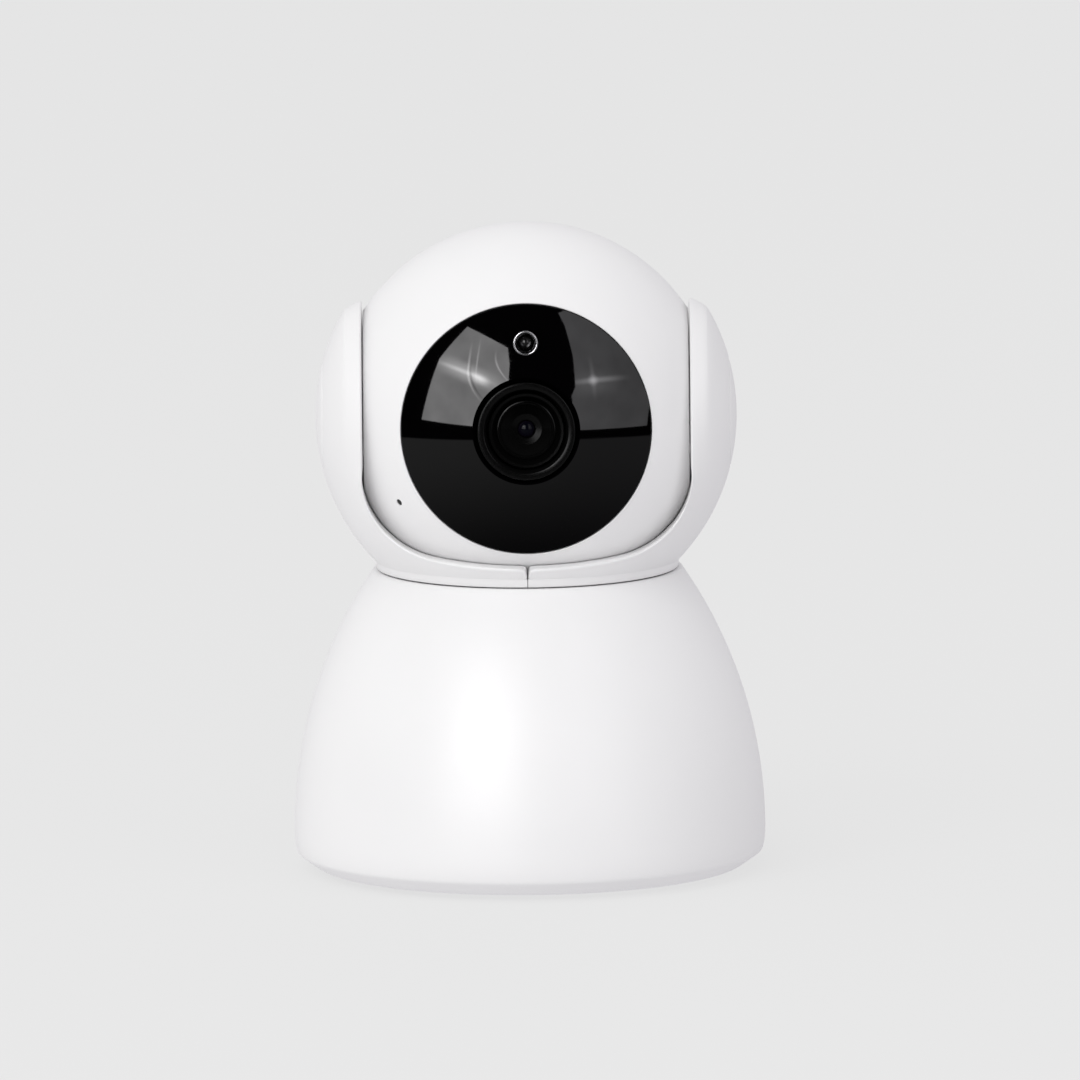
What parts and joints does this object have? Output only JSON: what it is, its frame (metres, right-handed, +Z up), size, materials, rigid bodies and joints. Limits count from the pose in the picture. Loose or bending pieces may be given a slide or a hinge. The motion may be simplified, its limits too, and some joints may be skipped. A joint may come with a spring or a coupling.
{
  "type": "pan and tilt security camera",
  "caption": "Indoor security camera with a ball head that tilts in a yoke, which pans on a bell-shaped base; round dark face with a central lens.",
  "frame": {"origin": "middle of the footprint, on the surface that the feet stand on", "axes": "+Z up, the lens looks along -Y, +X to the right as seen from the front"},
  "size_m": [0.08, 0.08, 0.1105],
  "materials": {
    "white_plastic": "satin moulded plastic",
    "cover_plastic": "fine spark texture",
    "black_gloss": "polished tinted window",
    "black_plastic": "satin",
    "lens_metal": "black anodised",
    "lens_glass": "coated optical glass",
    "chrome_trim": "polished",
    "rubber": "matte",
    "steel": "zinc plated",
    "brass": "turned",
    "deck_plastic": "moulded",
    "bearing_plastic": "natural acetal",
    "motor_steel": "drawn can",
    "circuit_board": "solder mask",
    "chip_black": "moulded epoxy",
    "socket_metal": "stamped and plated",
    "led_resin": "clear tinted resin"
  },
  "bodies": {
    "base": {"base_shell": "white_plastic", "base_cover": "cover_plastic", "rubber_feet": "rubber", "cover_screws": "steel", "tripod_insert": "brass", "ballast_plate": "steel", "pan_deck": "deck_plastic", "thrust_washer": "bearing_plastic", "pan_motor": "motor_steel", "motor_screws": "steel", "main_board": "circuit_board", "board_chips": "chip_black", "power_socket": "socket_metal", "speaker": "chip_black", "wifi_antenna": "circuit_board"},
    "yoke": {"yoke_left": "white_plastic", "yoke_right": "white_plastic", "side_cap_left": "white_plastic", "side_cap_right": "white_plastic", "pan_gear": "bearing_plastic", "spindle_clip": "steel", "turntable_screws": "steel", "trunnion_pin": "steel", "tilt_shaft": "steel"},
    "head": {"head_front_shell": "white_plastic", "head_rear_shell": "white_plastic", "head_screws": "steel", "face_window": "black_gloss", "face_carrier": "black_plastic", "led_board": "circuit_board", "infrared_leds": "led_resin", "sensor_ring": "chrome_trim", "light_sensor": "led_resin", "lens_bezel": "black_plastic", "lens_barrel": "lens_metal", "lens_front_glass": "lens_glass", "lens_holder": "black_plastic", "image_sensor": "chip_black", "sensor_board": "circuit_board", "microphone": "chip_black", "tilt_motor": "motor_steel", "trunnion_bush": "bearing_plastic", "card_board": "circuit_board", "card_reader": "socket_metal", "reset_switch": "chip_black"},
    "pan_pinion": {"pan_pinion": "bearing_plastic"},
    "reset_button": {"reset_button": "white_plastic"}
  },
  "joints": [
    {"name": "pan", "type": "hinge", "parent": "base", "child": "yoke", "pos_m": [0, 0, 0.0777], "axis": [0, 0, 1], "range_deg": [-177.5, 177.5]},
    {"name": "pinion_spin", "type": "hinge", "parent": "base", "child": "pan_pinion", "pos_m": [0, -0.0184, 0.0387], "axis": [0, 0, 1], "range_deg": [-640, 640]},
    {"name": "tilt", "type": "hinge", "parent": "yoke", "child": "head", "pos_m": [0, 0, 0.0777], "axis": [-1, 0, 0], "range_deg": [-22, 68]},
    {"name": "reset_press", "type": "slide", "parent": "head", "child": "reset_button", "axis": [-0.34, 0.5025, 0.7949], "range_m": [0, 0.0004], "stiffness_N_per_m": 800, "springref_m": -0.0005}
  ],
  "couplings": [
    {"joint": "pinion_spin", "follows": "pan", "ratio": -3.6}
  ]
}
